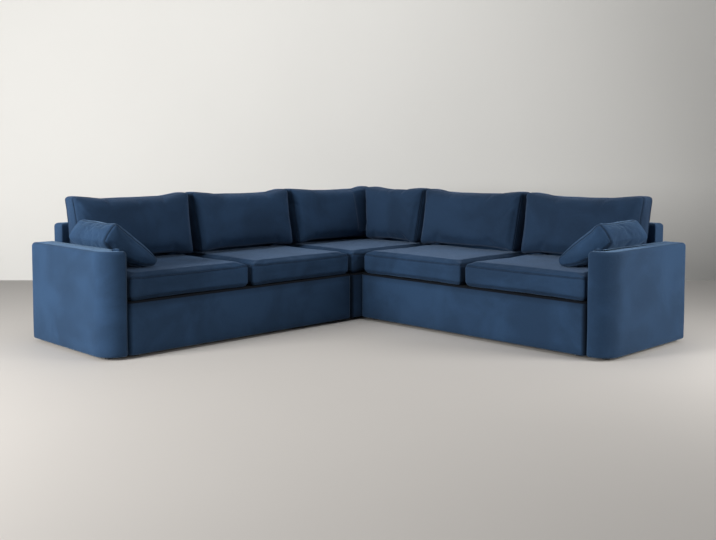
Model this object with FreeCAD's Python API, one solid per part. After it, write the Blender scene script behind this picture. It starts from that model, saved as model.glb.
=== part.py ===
import FreeCAD, Part
import math
import os
from FreeCAD import Vector

# Corner sofa in three upholstered sections with loose cushions, in millimetres.
# Every piece is drawn in wing coordinates: u runs along a wing away from the back
# corner, v from the wall side to the front, z up. The left wing holds the corner
# section and the left section, the right wing holds the right section.

# Overall sizes
unit_depth = 870.0
left_seat_width = 850.0
right_seat_width = 878.0
seats_per_section = 2
arm_width = 150.0
arm_height = 600.0
back_depth = 100.0
back_height = 710.0
base_top = 315.0
foot_height = 18.0

# Upholstered covers
cover_wall = 12.0
base_corner_radius = 28.0
base_edge_radius = 9.0
top_roll_radius = 24.0
arm_front_radius = 118.0
arm_rear_radius = 70.0
arm_inner_radius = 28.0
back_corner_radius = 40.0
platform_cloth = 3.0
dust_cloth = 2.0
cut_overrun = 1.0

# Timber
timber = 30.0
cross_rail_drop = 30.0
post_width = 40.0
rail_height = 40.0
low_rail_height = 100.0
mid_rail_height = 335.0
block_size = 70.0
block_height = 60.0
arm_panel = 18.0
arm_post_depth = 90.0
arm_frame_margin = 28.0
arm_nose_margin = 70.0

# Springing
strap_width = 70.0
strap_thickness = 3.0
strap_pitch = 118.0
strap_margin = 60.0
deck_pad_thickness = 15.0
pad_clearance = 1.0

# Hardware
foot_radius = 22.0
foot_screw_radius = 3.0
foot_screw_head = 6.0
foot_screw_depth = 40.0
foot_recess = 6.0
screw_head_height = 4.0
bore_clearance = 0.1
screw_head_clearance = 1.0
screw_tip_clearance = 1.0
arm_bolt_radius = 4.0
arm_bolt_head = 9.0
arm_bolt_head_height = 6.0
arm_bolts_per_arm = 3
arm_bolt_height = 150.0
arm_bolt_end_margin = 200.0
link_plate_width = 40.0
link_plate_thickness = 3.0
link_screw_radius = 2.5
link_screw_head = 5.0
link_screw_depth = 30.0
link_end_margin = 150.0

# Loose cushions
rest_gap = 0.4
lean_gap = 1.5
cushion_gap = 3.0
cushion_wall = 5.0
core_clearance = 0.4
seat_thickness = 140.0
seat_crown = 16.0
seat_front_bulge = 8.0
seat_edge_roll = 16.0
seat_side_pull = 4.0
seat_corner_trim = 34.0
seat_crown_ring = 80.0
seat_crown_top = 185.0
seat_ring_rise = 0.55
seat_edge_shoulder = 0.8
back_cushion_top = 878.0
back_cushion_depth = 170.0
back_cushion_crown = 18.0
back_cushion_recline = 11.0
back_edge_roll = 20.0
back_side_pull = 5.0
back_corner_trim = 26.0
back_top_inset = 46.0
corner_lean_gap = 9.0
arm_cushion_length = 379.0
arm_cushion_back_gap = 30.0
arm_cushion_rear_slant = 0.25
arm_cushion_low_reach = 318.0
arm_cushion_low_height = 38.0
arm_cushion_bottom_reach = 300.0
arm_cushion_settle = 1.5
arm_cushion_ridge_reach = 21.0
arm_cushion_ridge_rise = 153.0
arm_cushion_over_arm = 65.0
arm_cushion_outer_rise = 40.0
arm_cushion_roll_gap = 0.7
arm_cushion_crown = 16.0
arm_cushion_end_bulge = 6.0
arm_cushion_trim = 15.0
arm_cushion_end_scale = 0.93
arm_cushion_end_length = 0.05
arm_cushion_shoulder_scale = 0.99
arm_cushion_shoulder_swell = 0.55
arm_cushion_splay = 15.0

# Positions that follow from the sizes above
corner_end = back_depth + left_seat_width
left_arm_start = corner_end + seats_per_section * left_seat_width
left_length = left_arm_start + arm_width
right_start = unit_depth
right_arm_start = right_start + seats_per_section * right_seat_width
right_length = right_arm_start + arm_width
frame_bottom = foot_height + dust_cloth
rail_top = base_top - platform_cloth - deck_pad_thickness - strap_thickness
inner_front = unit_depth - cover_wall
inner_rear = back_depth - cover_wall
seat_bottom = base_top + rest_gap
seat_top = seat_bottom + seat_thickness + seat_crown
back_cushion_bottom = seat_top + rest_gap
recline_slope = math.tan(math.radians(back_cushion_recline))


def bar(u0, u1, v0, v1, z0, z1):
    """A plain rectangular block between two corners."""
    return Part.makeBox(u1 - u0, v1 - v0, z1 - z0, Vector(u0, v0, z0))


def rod(centre, direction, radius, length):
    """A round rod that starts at a point and runs along a direction."""
    return Part.makeCylinder(radius, length, centre, direction)


def rounded_plan(points, radii):
    """A flat closed outline of straight sides with each corner rounded by its own radius."""
    edges = []
    starts = []
    ends = []
    count = len(points)
    for i in range(count):
        corner = points[i]
        back = (points[i - 1] - corner).normalize()
        ahead = (points[(i + 1) % count] - corner).normalize()
        starts.append(corner + back * radii[i])
        ends.append(corner + ahead * radii[i])
    for i in range(count):
        if radii[i] > 0:
            inward = (starts[i] + ends[i] - points[i] * 2).normalize()
            middle = points[i] + inward * radii[i] * (math.sqrt(2) - 1)
            edges.append(Part.Arc(starts[i], middle, ends[i]).toShape())
        edges.append(Part.LineSegment(ends[i], starts[(i + 1) % count]).toShape())
    return Part.Wire(edges)


def prism(points, radii, z0, z1):
    """An upright block on a rounded plan; points are (u, v) pairs."""
    corners = [Vector(u, v, z0) for u, v in points]
    face = Part.Face(rounded_plan(corners, radii))
    return face.extrude(Vector(0, 0, z1 - z0))


def roll_edges(solid, z, radius):
    """Round every edge that lies flat at one height."""
    flat = [e for e in solid.Edges if abs(e.BoundBox.ZMin - z) < 0.01 and abs(e.BoundBox.ZMax - z) < 0.01]
    return solid.makeFillet(radius, flat)


def rectangle(u0, u1, v0, v1):
    return [(u0, v0), (u1, v0), (u1, v1), (u0, v1)]


def base_cover(u0, u1, inner_u0, left_radius):
    """Cap of padded cloth over a section's base: front, ends and platform, open below and behind."""
    outer_radii = [0, 0, base_corner_radius, left_radius]
    outer = prism(rectangle(u0, u1, back_depth, unit_depth), outer_radii, foot_height, base_top)
    outer = roll_edges(outer, base_top, base_edge_radius)
    inner_radii = [0, 0, base_corner_radius - cover_wall, max(left_radius - cover_wall, 0)]
    cavity_plan = rectangle(inner_u0, u1 - cover_wall, inner_rear, inner_front)
    cavity = prism(cavity_plan, inner_radii, foot_height - cut_overrun, base_top - platform_cloth)
    return outer.cut(cavity)


def base_timber(u0, u1):
    """Front rail, rear rail, then the side and cross rails of a base between two inner ends."""
    side_front = inner_front - (base_corner_radius - cover_wall)
    rear_front = inner_rear + timber
    front_rail = bar(u0 + timber, u1 - timber, inner_front - timber, inner_front, frame_bottom, rail_top)
    rear_rail = bar(u0, u1, inner_rear, rear_front, frame_bottom, rail_top)
    rails = [
        bar(u0, u0 + timber, rear_front, side_front, frame_bottom, rail_top),
        bar(u1 - timber, u1, rear_front, side_front, frame_bottom, rail_top),
    ]
    bays = 2 * round((u1 - u0) / left_seat_width)
    for k in range(1, bays):
        middle = u0 + (u1 - u0) * k / bays
        cross_front = inner_front - timber
        cross_top = rail_top - cross_rail_drop
        half = timber / 2
        rails.append(bar(middle - half, middle + half, rear_front, cross_front, frame_bottom, cross_top))
    return front_rail, rear_rail, rails


def corner_blocks(u0, u1):
    """Four blocks in the corners of a base, which take the feet."""
    rear = inner_rear + timber
    front = inner_front - timber - block_size
    top = frame_bottom + block_height
    blocks = []
    for u in (u0 + timber, u1 - timber - block_size):
        for v in (rear, front):
            blocks.append(bar(u, u + block_size, v, v + block_size, frame_bottom, top))
    return blocks


def block_centres(u0, u1):
    half = block_size / 2
    us = (u0 + timber + half, u1 - timber - half)
    vs = (inner_rear + timber + half, inner_front - timber - half)
    return [(u, v) for u in us for v in vs]


def webbing(u0, u1):
    """Elastic straps from the rear rail to the front rail, evenly spread."""
    span = u1 - u0 - 2 * strap_margin - strap_width
    count = int(span // strap_pitch) + 1
    step = span / (count - 1)
    straps = []
    for k in range(count):
        left = u0 + strap_margin + k * step
        straps.append(bar(left, left + strap_width, inner_rear + pad_clearance, inner_front - pad_clearance,
                          rail_top, rail_top + strap_thickness))
    return straps


def deck_pad(u0, u1, left_radius):
    """Thin pad on the webbing, under the platform cloth."""
    plan = rectangle(u0 + pad_clearance, u1 - pad_clearance, inner_rear + pad_clearance,
                     inner_front - pad_clearance)
    front_radius = base_corner_radius - cover_wall
    radii = [0, 0, front_radius, left_radius]
    bottom = rail_top + strap_thickness
    return prism(plan, radii, bottom, bottom + deck_pad_thickness)


def section_dust_cover(u0, u1, rear_radius, left_radius):
    """Thin cloth that closes a section's base and back from below."""
    radii = [rear_radius, 0, base_corner_radius - cover_wall, left_radius]
    return prism(rectangle(u0, u1, cover_wall, inner_front), radii, foot_height, frame_bottom)


def back_cover(points, radii, windows):
    """Cap of padded cloth over a back, with the roll along its top and a window for the base."""
    outer = prism(points, radii, foot_height, back_height)
    outer = roll_edges(outer, back_height, top_roll_radius)
    inner = inset_plan(points, cover_wall)
    inner_radii = [max(r - cover_wall, 0) for r in radii]
    cavity = prism(inner, inner_radii, foot_height - cut_overrun, back_height - cover_wall)
    cover = outer.cut(cavity)
    for u0, u1, v0, v1 in windows:
        cover = cover.cut(bar(u0, u1, v0, v1, foot_height - cut_overrun, base_top - platform_cloth))
    return cover


def inset_plan(points, distance):
    """Move every side of a right-angled plan inwards by a distance."""
    moved = []
    count = len(points)
    for i in range(count):
        u, v = points[i]
        for a, b in ((points[i - 1], points[i]), (points[i], points[(i + 1) % count])):
            length = math.hypot(b[0] - a[0], b[1] - a[1])
            u -= distance * (b[1] - a[1]) / length
            v += distance * (b[0] - a[0]) / length
        moved.append((u, v))
    return moved


def back_timber(a0, a1, across):
    """Posts and rails of a back along one direction; across swaps the direction."""
    def piece(along0, along1, deep0, deep1, z0, z1):
        if across:
            return bar(deep0, deep1, along0, along1, z0, z1)
        return bar(along0, along1, deep0, deep1, z0, z1)

    top = back_height - cover_wall
    bays = 1 + round((a1 - a0) / (2 * left_seat_width))
    step = (a1 - a0 - post_width) / bays
    pieces = []
    for k in range(bays + 1):
        left = a0 + k * step
        pieces.append(piece(left, left + post_width, cover_wall, inner_rear, frame_bottom, top))
    for k in range(bays):
        left = a0 + k * step + post_width
        right = a0 + (k + 1) * step
        pieces.append(piece(left, right, cover_wall, inner_rear, top - rail_height, top))
        pieces.append(piece(left, right, inner_rear - timber, inner_rear, mid_rail_height,
                            mid_rail_height + rail_height))
        pieces.append(piece(left, right, inner_rear - timber, inner_rear, frame_bottom,
                            frame_bottom + low_rail_height))
    return pieces


def arm_plan(inner_u):
    return rectangle(inner_u, inner_u + arm_width, 0, unit_depth)


def arm_cover(inner_u):
    """Slab arm: large round corners outside, a small one inside, a soft roll round the top."""
    radii = [0, arm_rear_radius, arm_front_radius, arm_inner_radius]
    outer = roll_edges(prism(arm_plan(inner_u), radii, foot_height, arm_height), arm_height, top_roll_radius)
    cavity_radii = [max(r - cover_wall, 0) for r in radii]
    cavity_plan = inset_plan(arm_plan(inner_u), cover_wall)
    cavity = prism(cavity_plan, cavity_radii, foot_height - cut_overrun, arm_height - cover_wall)
    return outer.cut(cavity)


def arm_dust_cover(inner_u):
    radii = [max(r - cover_wall, 0) for r in (0, arm_rear_radius, arm_front_radius, arm_inner_radius)]
    return prism(inset_plan(arm_plan(inner_u), cover_wall), radii, foot_height, frame_bottom)


def arm_post_edges():
    """The v limits of the rear and front posts inside an arm."""
    rear = cover_wall + arm_frame_margin
    front = inner_front - arm_nose_margin
    return rear, front


def arm_timber(inner_u):
    """Inner board, two posts and two rails of an arm."""
    panel_start = inner_u + cover_wall
    post_start = panel_start + arm_panel
    post_end = post_start + arm_post_depth
    rear, front = arm_post_edges()
    top = arm_height - cover_wall
    panel_front = unit_depth - arm_inner_radius
    pieces = [bar(panel_start, post_start, cover_wall, panel_front, frame_bottom, top)]
    for v in (rear, front - post_width):
        pieces.append(bar(post_start, post_end, v, v + post_width, frame_bottom, top))
    for z in (frame_bottom, top - rail_height):
        pieces.append(bar(post_start, post_end, rear + post_width, front - post_width, z, z + rail_height))
    return pieces


def arm_foot_centres(inner_u):
    rear, front = arm_post_edges()
    u = inner_u + cover_wall + arm_panel + arm_post_depth / 2
    return [(u, rear + post_width / 2), (u, front - post_width / 2)]


def foot(u, v):
    """Round glide with a recess below for its screw."""
    body = rod(Vector(u, v, 0), Vector(0, 0, 1), foot_radius, foot_height)
    recess = rod(Vector(u, v, 0), Vector(0, 0, 1), foot_screw_head + screw_head_clearance, foot_recess)
    return body.cut(recess).cut(foot_bore(u, v))


def foot_bore(u, v):
    length = foot_height + foot_screw_depth
    return rod(Vector(u, v, 0), Vector(0, 0, 1), foot_screw_radius + bore_clearance, length)


def foot_screw(u, v):
    head = rod(Vector(u, v, foot_recess - screw_head_height), Vector(0, 0, 1), foot_screw_head,
               screw_head_height)
    shank_length = foot_height + foot_screw_depth - foot_recess - screw_tip_clearance
    return head.fuse(rod(Vector(u, v, foot_recess), Vector(0, 0, 1), foot_screw_radius, shank_length))


def arm_bolt_places():
    """The v positions of the bolts that hold an arm."""
    span = unit_depth - 2 * arm_bolt_end_margin
    return [arm_bolt_end_margin + span * k / (arm_bolts_per_arm - 1) for k in range(arm_bolts_per_arm)]


def arm_bolt_span(inner_u):
    """From the inside of the base's side rail to the far side of the arm's inner board."""
    return inner_u - cover_wall - timber, inner_u + cover_wall + arm_panel


def arm_bolt(inner_u, v):
    start, end = arm_bolt_span(inner_u)
    along = Vector(1, 0, 0)
    head = rod(Vector(start - arm_bolt_head_height, v, arm_bolt_height), along, arm_bolt_head,
               arm_bolt_head_height)
    shank = rod(Vector(start, v, arm_bolt_height), along, arm_bolt_radius, end - start)
    nut = rod(Vector(end, v, arm_bolt_height), along, arm_bolt_head, arm_bolt_head_height)
    return head.fuse(shank).fuse(nut)


def arm_bolt_bores(inner_u):
    start, end = arm_bolt_span(inner_u)
    length = end - start + 2 * cut_overrun
    radius = arm_bolt_radius + bore_clearance
    along = Vector(1, 0, 0)
    starts = [Vector(start - cut_overrun, v, arm_bolt_height) for v in arm_bolt_places()]
    return [rod(place, along, radius, length) for place in starts]


def link_places():
    """Joints between sections: each entry gives the plate's ends and its two screws."""
    screws = []
    half_timber = timber / 2
    reach = cover_wall + half_timber
    for v in (back_depth + link_end_margin, unit_depth - link_end_margin):
        screws.append([(corner_end - reach, v), (corner_end + reach, v)])
    for u in (back_depth + link_end_margin, unit_depth - link_end_margin):
        screws.append([(u, unit_depth - reach), (u, unit_depth + reach)])
    return screws


def link_plate(ends):
    half = link_plate_width / 2
    grow = timber / 2
    (ua, va), (ub, vb) = ends
    along_u = abs(ub - ua) > abs(vb - va)
    du = grow if along_u else half
    dv = half if along_u else grow
    bottom = foot_height - link_plate_thickness
    plate = bar(min(ua, ub) - du, max(ua, ub) + du, min(va, vb) - dv, max(va, vb) + dv, bottom, foot_height)
    for u, v in ends:
        plate = plate.cut(link_bore(u, v))
    return plate


def link_bore(u, v):
    bottom = foot_height - link_plate_thickness
    return rod(Vector(u, v, bottom - cut_overrun), Vector(0, 0, 1), link_screw_radius + bore_clearance,
               link_screw_depth + screw_tip_clearance + cut_overrun)


def link_screw(u, v):
    bottom = foot_height - link_plate_thickness
    head = rod(Vector(u, v, bottom - screw_head_height), Vector(0, 0, 1), link_screw_head, screw_head_height)
    return head.fuse(rod(Vector(u, v, bottom), Vector(0, 0, 1), link_screw_radius, link_screw_depth))


def soft_outline(corners, trim, bulges):
    """A closed outline through four corners: each side one arc, each corner a short arc."""
    centre = (corners[0] + corners[1] + corners[2] + corners[3]) / 4
    edges = []
    for i in range(4):
        here = corners[i]
        after = corners[(i + 1) % 4]
        beyond = corners[(i + 2) % 4]
        along = (after - here).normalize()
        onward = (beyond - after).normalize()
        start = here + along * trim
        end = after - along * trim
        middle = (here + after) / 2
        outward = middle - centre
        outward = (outward - along * outward.dot(along)).normalize()
        if abs(bulges[i]) > 0.01:
            edges.append(Part.Arc(start, middle + outward * bulges[i], end).toShape())
        else:
            edges.append(Part.LineSegment(start, end).toShape())
        half_angle = (onward * -1).getAngle(along) / 2
        inward = (onward - along).normalize()
        reach = trim * (1 - math.sin(half_angle)) / math.cos(half_angle)
        edges.append(Part.Arc(end, after + inward * reach, after + onward * trim).toShape())
    return Part.Wire(edges)


def seat_cushion(u0, u1, front_is_free, shrink):
    """Box cushion: rolled edges, sides drawn in, a bulging free front and a crowned top."""
    left = u0 + cushion_gap / 2 + shrink
    right = u1 - cushion_gap / 2 - shrink
    rear = back_depth + cushion_gap / 2 + shrink
    front = unit_depth - shrink - (0 if front_is_free else cushion_gap / 2)
    full = seat_thickness + seat_crown
    shoulder = seat_edge_shoulder * seat_edge_roll
    # Height above the underside, inset from the sides, share of the sides' swell
    levels = [
        (0, seat_edge_roll, 0.3),
        (shoulder, 1, 0.8),
        (seat_thickness / 2, 0, 1),
        (seat_thickness - shoulder, 1, 0.8),
        (seat_thickness, seat_edge_roll, 0.4),
        (seat_thickness + seat_ring_rise * seat_crown, seat_crown_ring, 0.1),
        (full, seat_crown_top, 0),
    ]
    wires = []
    for height, inset, swell in levels:
        z = seat_bottom + shrink + height * (full - 2 * shrink) / full
        corners = [
            Vector(left + inset, rear + inset, z),
            Vector(right - inset, rear + inset, z),
            Vector(right - inset, front - inset, z),
            Vector(left + inset, front - inset, z),
        ]
        pull = -seat_side_pull * swell
        front_swell = seat_front_bulge * swell if front_is_free else pull
        wires.append(soft_outline(corners, seat_corner_trim, [pull, pull, front_swell, pull]))
    return Part.makeLoft(wires, True, True)


def cushion_rear(z):
    """Where a back cushion's rear face stands at a height: it leans on the back's top roll."""
    contact = back_height - top_roll_radius * (1 - math.sin(math.radians(back_cushion_recline)))
    return back_depth + lean_gap + (contact - z) * recline_slope


def corner_lean(z):
    """Where the last cushion of the right wing meets the front of the left wing's last cushion."""
    return cushion_rear(z) + back_cushion_depth + corner_lean_gap


def back_cushion(u0, u1, start_leans, shrink):
    """Back cushion: leaning, crowned in front, drawn in at mid height and rolled at its top."""
    bottom = back_cushion_bottom + shrink
    height = back_cushion_top - shrink - bottom
    # Height above the underside, insets of the faces and of the ends, share of the crown
    levels = [
        (0, back_edge_roll, back_edge_roll, 0.2),
        (back_edge_roll, 4, 3, 0.5),
        (0.3 * height, 0, back_side_pull, 0.9),
        (0.55 * height, 0, back_side_pull + 1, 1),
        (0.8 * height, 0, back_side_pull - 2, 0.75),
        (height - back_edge_roll, 5, 3, 0.45),
        (height - 0.3 * back_edge_roll, 0.5 * back_top_inset, 0.6 * back_edge_roll, 0.2),
        (height, back_top_inset, 2 * back_edge_roll, 0),
    ]
    wires = []
    for rise, inset_depth, inset_side, swell in levels:
        z = bottom + rise
        rear = cushion_rear(z) + shrink + inset_depth
        front = cushion_rear(z) + back_cushion_depth - shrink - inset_depth
        left = u0 + cushion_gap / 2 + shrink + inset_side
        if start_leans:
            left = corner_lean(z) + shrink + inset_side
        right = u1 - cushion_gap / 2 - shrink - inset_side
        corners = [Vector(left, rear, z), Vector(right, rear, z), Vector(right, front, z),
                   Vector(left, front, z)]
        wires.append(soft_outline(corners, back_corner_trim, [0, 0, back_cushion_crown * swell, 0]))
    return Part.makeLoft(wires, True)


def arm_cushion_sag(low_a, low_z, high_a, high_z):
    """How far the underside may sag below the line between its two edges.

    The underside is a circle through both edges that just clears the circle of the arm's top
    roll, and on a low arm it leaves the seat at a third of the line's own slope or more.
    """
    half = math.hypot(high_a - low_a, high_z - low_z) / 2
    down_a = (high_z - low_z) / (2 * half)
    down_z = (low_a - high_a) / (2 * half)
    roll_a = top_roll_radius - (low_a + high_a) / 2
    roll_z = arm_height - top_roll_radius - (low_z + high_z) / 2
    reach = top_roll_radius + arm_cushion_roll_gap
    depth = roll_a * down_a + roll_z * down_z
    a = depth + reach
    b = half * half + reach * reach - roll_a * roll_a - roll_z * roll_z
    c = half * half * (reach - depth)
    clear_of_roll = (math.sqrt(b * b - 4 * a * c) - b) / (2 * a)
    clear_of_seat = half * math.tan(math.atan2(high_z - low_z, high_a - low_a) / 3)
    return min(clear_of_roll, clear_of_seat)


def rounded_edge_lift(side_angle, underside_angle):
    """How far the arm cushion's rounded low edge stands above its sharp corner."""
    half = (side_angle - underside_angle) / 2
    middle_angle = (side_angle + underside_angle) / 2
    return arm_cushion_trim * (math.sin(middle_angle) / math.cos(half) - math.tan(half))


def arm_cushion_profile():
    """Corners of the arm cushion's section, measured from the arm's inner face: (across, height)."""
    outer_z = arm_height + arm_cushion_outer_rise
    low_back = arm_cushion_low_reach - arm_cushion_bottom_reach
    side_angle = math.atan2(arm_cushion_low_height, -low_back)
    underside_angle = math.atan2(outer_z - seat_top, arm_cushion_bottom_reach + arm_cushion_over_arm)
    lift = rounded_edge_lift(side_angle, underside_angle)
    return [
        (-arm_cushion_low_reach, seat_top + arm_cushion_low_height),
        (-arm_cushion_bottom_reach, seat_top + rest_gap - lift - arm_cushion_settle),
        (arm_cushion_over_arm, outer_z),
        (-arm_cushion_ridge_reach, arm_height + arm_cushion_ridge_rise),
    ]


def arm_cushion(inner_u):
    """Small cushion propped over an arm's inner edge, with its low edge on the seat."""
    profile = arm_cushion_profile()
    slope = (profile[2][1] - profile[1][1]) / (profile[2][0] - profile[1][0])
    sag = arm_cushion_sag(*profile[1], *profile[2])
    middle_a = sum(a for a, z in profile) / 4
    middle_z = sum(z for a, z in profile) / 4
    middle_rear = cushion_rear(middle_z) + back_cushion_depth + arm_cushion_back_gap
    front = middle_rear + arm_cushion_length
    tip = arm_cushion_end_length
    # Place along the length, scale of the section, share of the swell
    stations = [
        (0, arm_cushion_end_scale, 0),
        (tip, arm_cushion_shoulder_scale, arm_cushion_shoulder_swell),
        (0.3, 1, 1),
        (0.7, 1, 1),
        (1 - tip, arm_cushion_shoulder_scale, arm_cushion_shoulder_swell),
        (1, arm_cushion_end_scale, 0),
    ]
    wires = []
    for t, scale, swell in stations:
        corners = []
        for a, z in profile:
            across = middle_a + (a - middle_a) * scale
            up = middle_z + (z - middle_z) * scale
            rear = middle_rear - arm_cushion_rear_slant * (across - middle_a)
            v = front + (rear - front) * t
            shift = arm_cushion_splay * t
            corners.append(Vector(inner_u + across + shift, v, up + shift * slope))
        bulges = [0, sag, arm_cushion_end_bulge * swell, arm_cushion_crown * swell]
        wires.append(soft_outline(corners, arm_cushion_trim, bulges))
    return Part.makeLoft(wires, True, True)


def place(shape, wing):
    """Move a shape from wing coordinates to the sofa's own frame."""
    to_centre = Vector(-right_length / 2, left_length / 2, 0)
    if wing == "left":
        turned = shape.copy()
        turned.rotate(Vector(0, 0, 0), Vector(0, 0, 1), -90)
    else:
        turned = shape.mirror(Vector(0, 0, 0), Vector(0, 1, 0))
    turned.translate(to_centre)
    return turned


nodes = {}


def add(name, shapes, wing):
    nodes.setdefault(name, []).extend(place(shape, wing) for shape in shapes)


def drill(shapes, bores):
    for bore in bores:
        shapes = [shape.cut(bore) if shape.common(bore).Volume > 1 else shape for shape in shapes]
    return shapes


def add_section(name, wing, u0, u1, has_arm):
    """One upholstered section: base, back and, at a wing's end, its arm."""
    is_corner = name == "corner"
    timber_u0 = inner_rear if is_corner else u0 + cover_wall
    timber_u1 = u1 - cover_wall
    cover_u0 = back_depth if is_corner else u0
    left_radius = 0 if is_corner else base_corner_radius
    inner_left_radius = max(left_radius - cover_wall, 0)
    feet = block_centres(timber_u0, timber_u1)
    bores = [foot_bore(u, v) for u, v in feet]
    if is_corner or name == "left":
        bores += [link_bore(u, v) for ends in link_places() for u, v in ends]
    if name == "right":
        bores += [link_bore(v, u) for ends in link_places()[2:] for u, v in ends]
    dust_u0 = cover_wall if is_corner else timber_u0
    rear_radius = back_corner_radius - cover_wall if is_corner else 0
    dust_covers = [section_dust_cover(dust_u0, timber_u1, rear_radius, inner_left_radius)]
    base = [base_cover(cover_u0, u1, timber_u0, left_radius)]
    if has_arm:
        arm_bores = arm_bolt_bores(u1)
        arm_feet = arm_foot_centres(u1)
        bores += [foot_bore(u, v) for u, v in arm_feet]
        feet += arm_feet
        bores += arm_bores
        dust_covers.append(arm_dust_cover(u1))
        add(name + "_arm_cover", drill([arm_cover(u1)], arm_bores), wing)
        add(name + "_arm_frame", drill(arm_timber(u1), bores), wing)
        add("arm_bolts", [arm_bolt(u1, v) for v in arm_bolt_places()], wing)
    front_rail, rear_rail, side_rails = base_timber(timber_u0, timber_u1)
    add(name + "_base_cover", drill(base, bores), wing)
    add(name + "_front_rail", drill([front_rail], bores), wing)
    add(name + "_rear_rail", [rear_rail], wing)
    add(name + "_side_rails", drill(side_rails, bores), wing)
    add(name + "_seat_webbing", webbing(timber_u0, timber_u1), wing)
    add(name + "_deck_pad", [deck_pad(timber_u0, timber_u1, inner_left_radius)], wing)
    add("corner_blocks", drill(corner_blocks(timber_u0, timber_u1), bores), wing)
    add("feet", [foot(u, v) for u, v in feet], wing)
    add("foot_screws", [foot_screw(u, v) for u, v in feet], wing)
    if is_corner:
        plan = [(0, 0), (u1, 0), (u1, back_depth), (back_depth, back_depth), (back_depth, unit_depth),
                (0, unit_depth)]
        radii = [back_corner_radius, 0, 0, 0, 0, 0]
        edge = inner_rear - cut_overrun
        front = back_depth + cut_overrun
        windows = [(edge, timber_u1, edge, front), (edge, front, edge, inner_front)]
        frame = back_timber(back_corner_radius, u1 - cover_wall, False)
        frame += back_timber(back_depth, unit_depth - cover_wall, True)
    else:
        plan = rectangle(u0, u1, 0, back_depth)
        radii = [0, 0, 0, 0]
        windows = [(timber_u0, timber_u1, inner_rear - cut_overrun, back_depth + cut_overrun)]
        frame = back_timber(timber_u0, timber_u1, False)
    cover = back_cover(plan, radii, windows)
    if is_corner:
        bend = bar(0, back_depth, 0, back_depth, 0, back_height)
        side = bar(0, back_depth, back_depth, unit_depth, 0, back_height)
        add("corner_bend_back_cover", [cover.common(bend)], wing)
        add("corner_side_back_cover", [cover.common(side)], wing)
        cover = cover.cut(bend).cut(side)
    add(name + "_back_cover", [cover], wing)
    add(name + "_back_frame", frame, wing)
    add("dust_covers", drill(dust_covers, bores), wing)


def add_cushion(kind, name, wing, make):
    """A cushion's cover with its core inside."""
    outer = make(0)
    inner = make(cushion_wall)
    add(kind + "_cover_" + name, [outer.cut(inner)], wing)
    add(kind + "_core_" + name, [make(cushion_wall + core_clearance)], wing)


add_section("left", "left", corner_end, left_arm_start, True)
add_section("corner", "left", 0, corner_end, False)
add_section("right", "right", right_start, right_arm_start, True)
add("link_plates", [link_plate(ends) for ends in link_places()], "left")
add("link_screws", [link_screw(u, v) for ends in link_places() for u, v in ends], "left")

# Cushion slots: name, wing, start, end, and whether the start leans on the corner cushion
slots = [
    ("corner_left", "left", back_depth, corner_end, False),
    ("left_middle", "left", corner_end, corner_end + left_seat_width, False),
    ("left_outer", "left", corner_end + left_seat_width, left_arm_start, False),
    ("corner_right", "right", back_depth, right_start, True),
    ("right_middle", "right", right_start, right_start + right_seat_width, False),
    ("right_outer", "right", right_start + right_seat_width, right_arm_start, False),
]
for slot_name, slot_wing, slot_start, slot_end, leans in slots:
    add_cushion("back", slot_name, slot_wing,
                lambda shrink: back_cushion(slot_start, slot_end, leans, shrink))
    if not leans:
        front_is_free = slot_name != "corner_left"
        seat_name = "corner" if slot_name == "corner_left" else slot_name
        add_cushion("seat", seat_name, slot_wing,
                    lambda shrink: seat_cushion(slot_start, slot_end, front_is_free, shrink))
add("arm_cushion_left", [arm_cushion(left_arm_start)], "left")
add("arm_cushion_right", [arm_cushion(right_arm_start)], "right")

os.makedirs("parts", exist_ok=True)
for name, solids in nodes.items():
    shape = solids[0] if len(solids) == 1 else Part.makeCompound(solids)
    shape.exportStep("parts/" + name + ".step")
    box = shape.BoundBox
    print(name, len(shape.Solids), "solids", "valid" if shape.isValid() else "NOT VALID",
          round(shape.Volume / 1000), "cm3", [round(x) for x in (box.XMin, box.XMax, box.YMin, box.YMax,
                                                                 box.ZMin, box.ZMax)])
print(len(nodes), "nodes")
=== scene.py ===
# %% [markdown]
# # A blue corner sofa, dressed on its frame
# The frame of this sofa was drawn first, to the millimetre, and it is not changed here. Each
# covered part and each cushion gets a new skin over it, and what stays visible of the frame gets
# a better finish. Everything is in metres, in the frame's own coordinates.

# %% Load the frame
import math
from collections import namedtuple

import bpy
import numpy as np
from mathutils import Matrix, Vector


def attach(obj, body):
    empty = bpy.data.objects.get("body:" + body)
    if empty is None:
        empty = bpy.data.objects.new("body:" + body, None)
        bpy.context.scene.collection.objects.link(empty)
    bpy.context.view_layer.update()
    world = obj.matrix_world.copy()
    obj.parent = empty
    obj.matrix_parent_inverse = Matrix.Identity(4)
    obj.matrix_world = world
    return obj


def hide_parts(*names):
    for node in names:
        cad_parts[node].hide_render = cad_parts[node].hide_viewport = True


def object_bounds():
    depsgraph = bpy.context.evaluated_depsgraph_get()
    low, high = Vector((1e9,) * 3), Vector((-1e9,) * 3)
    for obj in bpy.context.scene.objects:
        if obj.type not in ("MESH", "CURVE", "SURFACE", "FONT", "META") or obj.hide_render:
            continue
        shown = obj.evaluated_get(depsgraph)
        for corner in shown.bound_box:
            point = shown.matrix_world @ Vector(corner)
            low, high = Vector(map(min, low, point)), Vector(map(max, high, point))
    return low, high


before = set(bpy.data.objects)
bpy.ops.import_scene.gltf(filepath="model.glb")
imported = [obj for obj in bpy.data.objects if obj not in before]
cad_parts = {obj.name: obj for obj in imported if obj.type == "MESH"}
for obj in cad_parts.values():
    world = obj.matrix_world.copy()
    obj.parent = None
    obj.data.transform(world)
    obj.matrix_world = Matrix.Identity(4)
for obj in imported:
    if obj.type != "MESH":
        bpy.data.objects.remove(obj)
cad_low, cad_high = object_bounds()
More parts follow.
